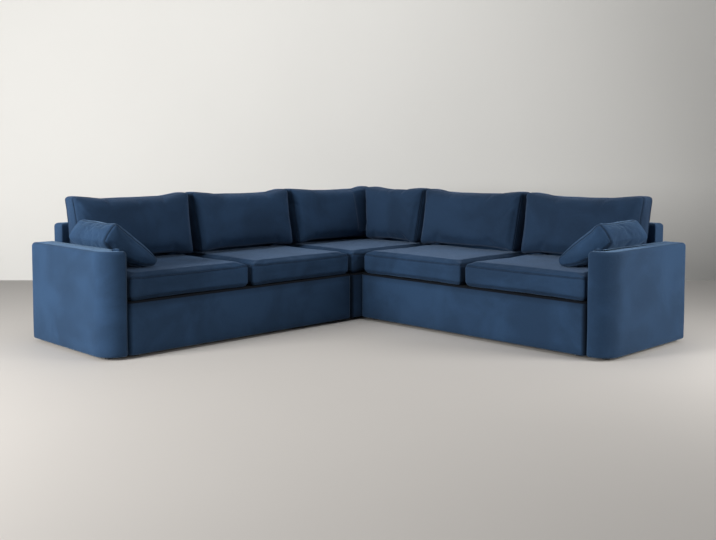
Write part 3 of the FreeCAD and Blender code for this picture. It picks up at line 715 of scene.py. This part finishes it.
def box_ring(u0, u1, v0, v1, z, trim, bulges=(0, 0, 0, 0)):
    """The soft ring of an upright box at one height."""
    return soft_ring([(u, v, z) for u, v in box_plan(u0, u1, v0, v1)], trim, bulges)


# %% Seat cushion form
SEAT_LOW, SEAT_HIGH, SEAT_THICK = 0.3154, 0.4714, 0.156
HALF_GAP = 0.0015
BULGE = 0.008
# The forms start a little small where the cloth is then blown up.
SHRINK = 0.005


def seat_form(name, wing, start, end, free_front):
    """Levels of (height, inset, share of swell): rolled edges at 140 mm, crown up to 156 mm."""
    left, right = start + HALF_GAP + SHRINK, end - HALF_GAP - SHRINK
    rear = BACK + HALF_GAP + SHRINK
    front = DEPTH - SHRINK - (0 if free_front else HALF_GAP)
    levels = [(0, 0.009, 0.3), (0.010, 0.001, 0.8), (0.07, 0, 1), (0.1300, 0.001, 0.8), (0.142, 0.010, 0.4),
              (0.1500, 0.070, 0.1), (SEAT_THICK, 0.185, 0)]
    rings = []
    for height, inset, swell in levels:
        z = SEAT_LOW + SHRINK + height * (SEAT_THICK - 2 * SHRINK) / SEAT_THICK
        pull = -0.002 * swell
        bulges = [pull, pull, BULGE * swell if free_front else pull, pull]
        rings.append(box_ring(left + inset, right - inset, rear + inset, front - inset, z, 0.015, bulges))
    return new_piece(name, np.array(rings), closed_faces(len(rings), len(rings[0])), wing)


# %% Back cushion form
CUSHION_TOP, CUSHION_LOW = 0.878, SEAT_HIGH + 0.0004
CUSHION_DEEP = 0.170
RECLINE = math.tan(math.radians(11))
TOUCH = 0.6906


def rear_of(z):
    """The rear face of a back cushion leans 11 degrees on the back's top roll, touched at TOUCH."""
    return BACK + 0.0015 + (TOUCH - z) * RECLINE


def lean_of(z):
    """Where the right wing's first cushion meets the front of the left wing's."""
    return rear_of(z) + CUSHION_DEEP + 0.009


def back_form(name, wing, start, end, leans):
    """Levels of (height, inset of faces, inset of ends, share of crown), leaning as they rise."""
    low = CUSHION_LOW + SHRINK
    tall = CUSHION_TOP - SHRINK - low
    levels = [(0, 0.014, 0.012, 0.2), (0.016, 0.003, 0.002, 0.5), (0.3 * tall, 0, 0.003, 0.9),
              (0.55 * tall, 0, 0.003, 1), (0.8 * tall, 0, 0.002, 0.75), (tall - 0.018, 0.004, 0.001, 0.45),
              (tall - 0.005, 0.018, 0.006, 0.2), (tall, 0.040, 0.022, 0)]
    rings = []
    for rise, deep, side, swell in levels:
        z = low + rise
        rear, front = rear_of(z) + SHRINK + deep, rear_of(z) + CUSHION_DEEP - SHRINK - deep
        left = (lean_of(z) if leans else start + HALF_GAP) + SHRINK + side
        right = end - HALF_GAP - SHRINK - side
        rings.append(box_ring(left, right, rear, front, z, 0.020, [0, 0, 0.018 * swell, 0]))
    return new_piece(name, np.array(rings), closed_faces(len(rings), len(rings[0])), wing)


# %% Arm cushion form
ARM_SECTION = np.array([(-0.318, 0.5094), (-0.300, 0.4654), (0.065, 0.640), (-0.021, 0.753)])
ARM_MIDDLE = ARM_SECTION.mean(0)
ARM_SLOPE = (ARM_SECTION[2, 1] - ARM_SECTION[1, 1]) / (ARM_SECTION[2, 0] - ARM_SECTION[1, 0])
ARM_REAR = rear_of(ARM_MIDDLE[1]) + CUSHION_DEEP + 0.030
ARM_FRONT = ARM_REAR + 0.379


def arm_corners(start, scale, t, shrink=0.0):
    """The section, across and up from the arm's inner face, at share t of the way from the front end
    to the rear end. It slides 15 mm up the slope on the way, and the rear end is cut askew."""
    across, height = (ARM_MIDDLE + (ARM_SECTION - ARM_MIDDLE) * scale).T
    back_end = ARM_REAR - 0.25 * (across - ARM_MIDDLE[0]) + shrink
    v = (ARM_FRONT - shrink) + (back_end - (ARM_FRONT - shrink)) * t
    shift = 0.015 * t
    return np.stack([start + across + shift, v, height + shift * ARM_SLOPE], 1)


def arm_form(name, wing, start):
    """Stations of (share of the way, scale, share of swell): both ends are a little smaller."""
    shrink = SHRINK * 0.7
    stations = [(0, 0.93, 0), (0.05, 0.99, 0.55), (0.3, 1, 1), (0.7, 1, 1), (0.95, 0.99, 0.55), (1, 0.93, 0)]
    rings = []
    for t, scale, swell in stations:
        corners = arm_corners(start, scale - shrink / 0.12, t, shrink)
        rings.append(soft_ring(corners, 0.015, [0, 0.03, 0.006 * swell, 0.016 * swell]))
    return new_piece(name, np.array(rings), closed_faces(len(rings), len(rings[0])), wing)


# %% The thirteen cushions
Cushion = namedtuple("Cushion", "kind name wing start end piece")
cushions = []
for wing, first in (("left", 1), ("right", 0)):
    edges = [BACK] + [mark(wing, first + k) for k in range(3)]
    for k, name in enumerate(("corner_" + wing, wing + "_middle", wing + "_outer")):
        start, end = edges[k], edges[k + 1]
        piece = back_form("back_cushion_" + name, wing, start, end, name == "corner_right")
        cushions.append(Cushion("back", name, wing, start, end, piece))
        if name != "corner_right":
            seat = "corner" if name == "corner_left" else name
            piece = seat_form("seat_cushion_" + seat, wing, start, end, seat != "corner")
            cushions.append(Cushion("seat", seat, wing, start, end, piece))
for wing, start in ARM_START.items():
    piece = arm_form("arm_cushion_filled_" + wing, wing, start)
    cushions.append(Cushion("arm", wing, wing, start, start + ARM_WIDTH, piece))
print(len(cushions), "cushions drawn")


# %% [markdown]
# ## Filling the cushions
# Each form is remeshed to even squares of about 1 cm. A real cover is sewn a little tight and the
# filling pushes it out until the cloth holds, so the cloth is pressed from inside for twenty
# frames without gravity. No point may move more than a set distance, and the soft limits of the
# cushion's own place, the seat below, the back behind and its neighbours, have the last word.

# %% Remesh and simulate
FRAMES = 20
PITCH = {"seat": 0.0115, "back": 0.0115, "arm": 0.008}
REACH = {"seat": 0.026, "back": 0.024, "arm": 0.014}
CLOTH = {"quality": 4, "use_pressure": True, "uniform_pressure_force": 4.0, "tension_stiffness": 20,
         "compression_stiffness": 20, "shear_stiffness": 8, "bending_stiffness": 1.2}


def applied(piece):
    """Replace the mesh by what its modifiers make of it, and drop the modifiers."""
    graph = bpy.context.evaluated_depsgraph_get()
    mesh = bpy.data.meshes.new_from_object(piece.evaluated_get(graph))
    old = piece.data
    piece.modifiers.clear()
    piece.data = mesh
    bpy.data.meshes.remove(old)


def fill_cushions():
    """Pressure from inside, frames 1 to 20, then cap each move: d * cap * tanh(|d| / cap) / |d|."""
    before = [read_points(c.piece.data) for c in cushions]
    for c in cushions:
        cloth = c.piece.modifiers.new("cloth", "CLOTH")
        for key, value in CLOTH.items():
            setattr(cloth.settings, key, value)
        cloth.settings.effector_weights.gravity = 0
        cloth.point_cache.frame_start, cloth.point_cache.frame_end = 1, FRAMES
    for number in range(1, FRAMES + 1):
        bpy.context.scene.frame_set(number)
    for c, rest in zip(cushions, before):
        applied(c.piece)
        move = read_points(c.piece.data) - rest
        size = np.linalg.norm(move, axis=1)[:, None] + 1e-9
        cap = REACH[c.kind]
        write_points(c.piece.data, rest + move * cap * np.tanh(size / cap) / size)
        print(c.piece.name, "moved up to", round(float(size.max()) * 1000, 1), "mm before the cap")
    bpy.context.scene.frame_set(1)


for c in cushions:
    remesh = c.piece.modifiers.new("even", "REMESH")
    remesh.mode, remesh.voxel_size = "VOXEL", PITCH[c.kind]
    applied(c.piece)
print("points:", sum(len(c.piece.data.vertices) for c in cushions))
fill_cushions()


# %% Smooth and divide
def relax(mesh, points, rounds=2, share=0.5):
    """Move each point towards the mean of its neighbours: p + share * (mean - p)."""
    a, b = read_all(mesh.edges, "vertices", 2, np.int32).T
    count = np.bincount(np.concatenate([a, b]), minlength=len(points))[:, None]
    for _ in range(rounds):
        total = np.stack([np.bincount(a, points[b, k], len(points))
                          + np.bincount(b, points[a, k], len(points)) for k in range(3)], 1)
        points = points + share * (total / np.maximum(count, 1) - points)
    return points


for c in cushions:
    write_points(c.piece.data, relax(c.piece.data, read_points(c.piece.data)))
    finer = c.piece.modifiers.new("finer", "SUBSURF")
    finer.levels = finer.render_levels = 1
    applied(c.piece)
print("points after one subdivision:", sum(len(c.piece.data.vertices) for c in cushions))

# %% [markdown]
# ## Seams, creases and resting faces
# After the skin is full size it gets what sewing and use leave: a groove with a fine raised edge
# along each seam, and soft creases where the cloth is dragged. Then each cushion is pressed to the
# flat faces that hold it.


# %% Grooves and creases
def squared_gaps(samples, points):
    """All squared distances between two sets of points: |a|^2 + |b|^2 - 2 a.b."""
    middle = points.mean(0)
    a, b = samples - middle, points - middle
    return (a ** 2).sum(1)[:, None] + (b ** 2).sum(1)[None] - 2 * a @ b.T


def nearest(points, path):
    """Distance of every point to a path of close samples."""
    return np.sqrt(np.maximum(squared_gaps(path, points).min(0), 0))


def settle(path, points, width=0.010):
    """Draw a path onto the skin: the mean of the skin's points near each sample, by exp(-d^2/w^2)."""
    gap = squared_gaps(path, points)
    gap -= gap.min(1)[:, None]
    weight = np.exp(-gap / width ** 2)
    return (weight @ points) / weight.sum(1)[:, None]


def crease_depth(flat, lines):
    """Sum over lines of depth * exp(-(distance to the line / width)^2), in a flat drawing."""
    depth = np.zeros(len(flat))
    for (ax, ay), (bx, by), width, deep in lines:
        a, run = np.array([ax, ay]), np.array([bx - ax, by - ay])
        share = np.clip(((flat - a) @ run) / (run @ run), 0, 1)
        gap = np.linalg.norm(flat - a - share[:, None] * run, axis=1)
        depth += deep * np.exp(-(gap / width) ** 2) * (0.4 + 0.6 * np.sin(np.pi * share))
    return depth


# %% Limits
def at_most(x, limit, soft=0.0012):
    """Soft upper limit: limit - soft * ln(1 + exp((limit - x) / soft))."""
    return limit - soft * np.logaddexp(0, (limit - x) / soft)


def at_least(x, limit):
    return -at_most(-x, -limit)


def between(x, low, high):
    return at_most(at_least(x, low), high)


def front_of(c):
    """How far a seat cushion may come forward: free, or up to its neighbour in the corner."""
    return DEPTH - HALF_GAP if c.name == "corner" else DEPTH + BULGE


def hold_seat(c, p):
    p[:, 0] = between(p[:, 0], c.start + HALF_GAP, c.end - HALF_GAP)
    p[:, 1] = between(p[:, 1], BACK + HALF_GAP, front_of(c))
    p[:, 2] = between(p[:, 2], SEAT_LOW, SEAT_HIGH)
    return p


# Up to here along the left wing its corner cushion keeps behind the right wing's first one.
CROSSING, CROSSING_SOFT = 0.36, 0.06


def hold_back(c, p):
    low_u = lean_of(p[:, 2]) if c.name == "corner_right" else c.start + HALF_GAP
    p[:, 0] = between(p[:, 0], low_u, c.end - HALF_GAP)
    p[:, 1] = at_least(p[:, 1], rear_of(p[:, 2]))
    if c.name == "corner_left":
        inner = at_most(p[:, 1], lean_of(p[:, 2]) - 0.003)
        share = np.clip((CROSSING - p[:, 0]) / CROSSING_SOFT, 0, 1)
        p[:, 1] = inner * share + p[:, 1] * (1 - share)
    p[:, 2] = between(p[:, 2], CUSHION_LOW, CUSHION_TOP + 0.004)
    return p


def hold_arm(c, p):
    """Stay above the seat and outside the arm, whose top edge is a round of 24 mm plus a hair."""
    p[:, 2] = at_least(p[:, 2], SEAT_HIGH + 0.0006)
    round_edge, reach = 0.024, 0.0252
    a, z = p[:, 0] - (c.start + round_edge), p[:, 2] - (ARM_TOP - round_edge)
    gap = np.hypot(a, z)
    inside = (a < 0) & (z > 0) & (gap < reach)
    out = reach / np.maximum(gap, 1e-6)
    a, z = np.where(inside, a * out, a), np.where(inside, z * out, z)
    a = np.where((z <= 0) & (a < 0), np.minimum(a, -reach), a)
    z = np.where((a >= 0), np.maximum(z, reach), z)
    p[:, 0], p[:, 2] = a + c.start + round_edge, z + ARM_TOP - round_edge
    return p


HOLD = {"seat": hold_seat, "back": hold_back, "arm": hold_arm}


# %% Seam paths
def spread(path, closed=True, pitch=0.006):
    """The same path with samples a fixed pitch apart."""
    path = np.asarray(path, float)
    if closed:
        path = np.vstack([path, path[:1]])
    step = np.r_[0, np.cumsum(np.linalg.norm(np.diff(path, axis=0), axis=1))]
    at = np.linspace(0, step[-1], max(int(step[-1] / pitch), 8), endpoint=not closed)
    return np.stack([np.interp(at, step, path[:, k]) for k in range(3)], 1)


def seat_seams(c):
    """Two rings round the box of a seat cushion, where its sides meet top and underside."""
    inset = 0.005
    u0, u1, v0, v1 = c.start + inset, c.end - inset, BACK + inset, front_of(c) - BULGE - inset
    return [(spread(box_ring(u0, u1, v0, v1, SEAT_LOW + height, 0.034)), True) for height in (0.1345, 0.008)]


def back_seams(c):
    """Rings round the front and the rear panel of a back cushion, leaning with it."""
    low, top = SEAT_HIGH + 0.006, CUSHION_TOP - 0.005
    loops = []
    for forward in (True, False):
        corners = []
        for u_end, z in ((0, low), (1, low), (1, top), (0, top)):
            left = lean_of(z) if c.name == "corner_right" else c.start
            u = left + 0.006 if u_end == 0 else c.end - 0.006
            inset = 0.012 if z == low else 0.030
            v = rear_of(z) + (CUSHION_DEEP - inset if forward else inset)
            corners.append((u, v, z))
        loops.append((spread(soft_ring(corners, 0.022)), True))
    return loops


def arm_seams(c):
    """Rings round both ends of an arm cushion, and its upper edge from end to end."""
    ends = [arm_corners(c.start, 0.985, t) for t in (0.03, 0.97)]
    loops = [(spread(soft_ring(corners, 0.015, [0, 0.03, 0.004, 0.012])), True) for corners in ends]
    return loops + [(spread([corners[3] for corners in ends], False), False)]


SEAMS = {"seat": seat_seams, "back": back_seams, "arm": arm_seams}


# %% Creases by cushion
def creases(c):
    """Soft creases as lines (from, to, width, depth): in (u, z) on fronts and (u, v) on tops."""
    front, top = [], []
    middle = (c.start + c.end) / 2
    if c.kind == "back":
        for edge, way in ((c.start, 1), (c.end, -1)):
            front += [((edge + way * 0.050, 0.52), (edge + way * 0.035, 0.80), 0.016, 0.0045),
                      ((edge + way * 0.020, 0.84), (edge + way * 0.120, 0.70), 0.014, 0.0030)]
        front += [((middle - 0.25, 0.515), (middle + 0.22, 0.505), 0.020, 0.0040),
                  ((middle - 0.12, 0.80), (middle + 0.10, 0.77), 0.030, 0.0025)]
    if c.kind == "seat":
        front += [((c.start + 0.05, 0.385), (middle - 0.05, 0.372), 0.014, 0.0022),
                  ((middle, 0.392), (c.end - 0.06, 0.380), 0.014, 0.0022)]
        for edge, way in ((c.start, 1), (c.end, -1)):
            top += [((edge + way * 0.015, 0.840), (edge + way * 0.130, 0.770), 0.012, 0.0035),
                    ((edge + way * 0.060, 0.860), (edge + way * 0.170, 0.810), 0.011, 0.0028)]
        top += [((middle - 0.28, 0.62), (middle + 0.25, 0.66), 0.045, 0.0030)]
    return front, top


def ears(c, p):
    """Pull the sewn corners out, each by a bell of its distance: a back cushion's top corners to the
    side, with its whole top edge lifted, and a seat cushion's corners out and up."""
    if c.kind == "arm":
        return p
    moved = p.copy()
    for edge, way in ((c.start, -1), (c.end, 1)):
        if c.kind == "back":
            side = lean_of(CUSHION_TOP) if c.name == "corner_right" and way < 0 else edge
            rise = ((p[:, 2] - CUSHION_TOP) / 0.05) ** 2
            bell = np.exp(-((p[:, 0] - side) / 0.075) ** 2 - rise)
            moved += bell[:, None] * np.array([0.008 * way, 0, 0])
            moved[:, 2] += 0.0035 * np.exp(-rise)
        else:
            for deep, turn in ((BACK, -1), (front_of(c) - BULGE, 1)):
                bell = np.exp(-((p[:, 0] - edge) / 0.06) ** 2 - ((p[:, 1] - deep) / 0.06) ** 2)
                lift = 0.010 * np.clip((p[:, 2] - SEAT_LOW) / 0.14, 0, 1)
                pull = np.stack([np.full(len(p), 0.019 * way), np.full(len(p), 0.012 * turn), lift], 1)
                moved += bell[:, None] * pull
    return moved


# %% Finish the cushions
def finish_cushion(c):
    """Creases and lumps along the normals, ears, limits, then a groove with a raised edge at each
    seam: 0.0022 exp(-(d / 6 mm)^2) - 0.0008 exp(-((d - 15 mm) / 7 mm)^2) at distance d."""
    mesh = c.piece.data
    points = to_wing(read_points(mesh), c.wing)
    normals = read_all(mesh.vertices, "normal", 3).astype(float)
    normals = to_wing(normals + [cad_low.x, cad_high.y, 0], c.wing)
    front, top = creases(c)
    inward = crease_depth(points[:, [0, 2]], front) * np.clip(normals[:, 1], 0, 1)
    inward = inward + crease_depth(points[:, [0, 1]], top) * np.clip(normals[:, 2], 0, 1)
    lumps = ripple(to_frame(points, c.wing), 0.0012 if c.kind == "arm" else 0.0016)
    points = points + normals * (lumps - inward)[:, None]
    points = HOLD[c.kind](c, ears(c, points))
    paths, gap = [], np.full(len(points), 9.0)
    for path, closed in SEAMS[c.kind](c):
        path = settle(path, points)
        paths.append((path, closed))
        gap = np.minimum(gap, nearest(points, path))
    groove = 0.0022 * np.exp(-(gap / 0.006) ** 2) - 0.0008 * np.exp(-((gap - 0.015) / 0.007) ** 2)
    points = HOLD[c.kind](c, points - normals * groove[:, None])
    write_points(mesh, to_frame(points, c.wing))
    # Painted shade along the seam grooves, kept as the seam number.
    store_painted_shade(c.piece, 0.8 * np.exp(-(gap / 0.005) ** 2))
    return paths


BODY = {"seat": "seat_", "back": "back_", "arm": "arm_pillow_"}
CUSHION_SEAM = 0.0017
for c in cushions:
    paths = finish_cushion(c)
    body = BODY[c.kind] + c.name
    dress(c.piece, {"back": shaded_back_cloth[c.wing], "seat": seat_cloth, "arm": blue_cloth}[c.kind], body)
    if c.kind == "arm":
        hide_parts("arm_cushion_" + c.name)
    else:
        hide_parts(c.kind + "_cover_" + c.name, c.kind + "_core_" + c.name)
    seam_piece(c.piece.name + "_seam", c.wing, paths, CUSHION_SEAM, body)
    print(c.piece.name, len(c.piece.data.polygons), "faces, rides on", body)
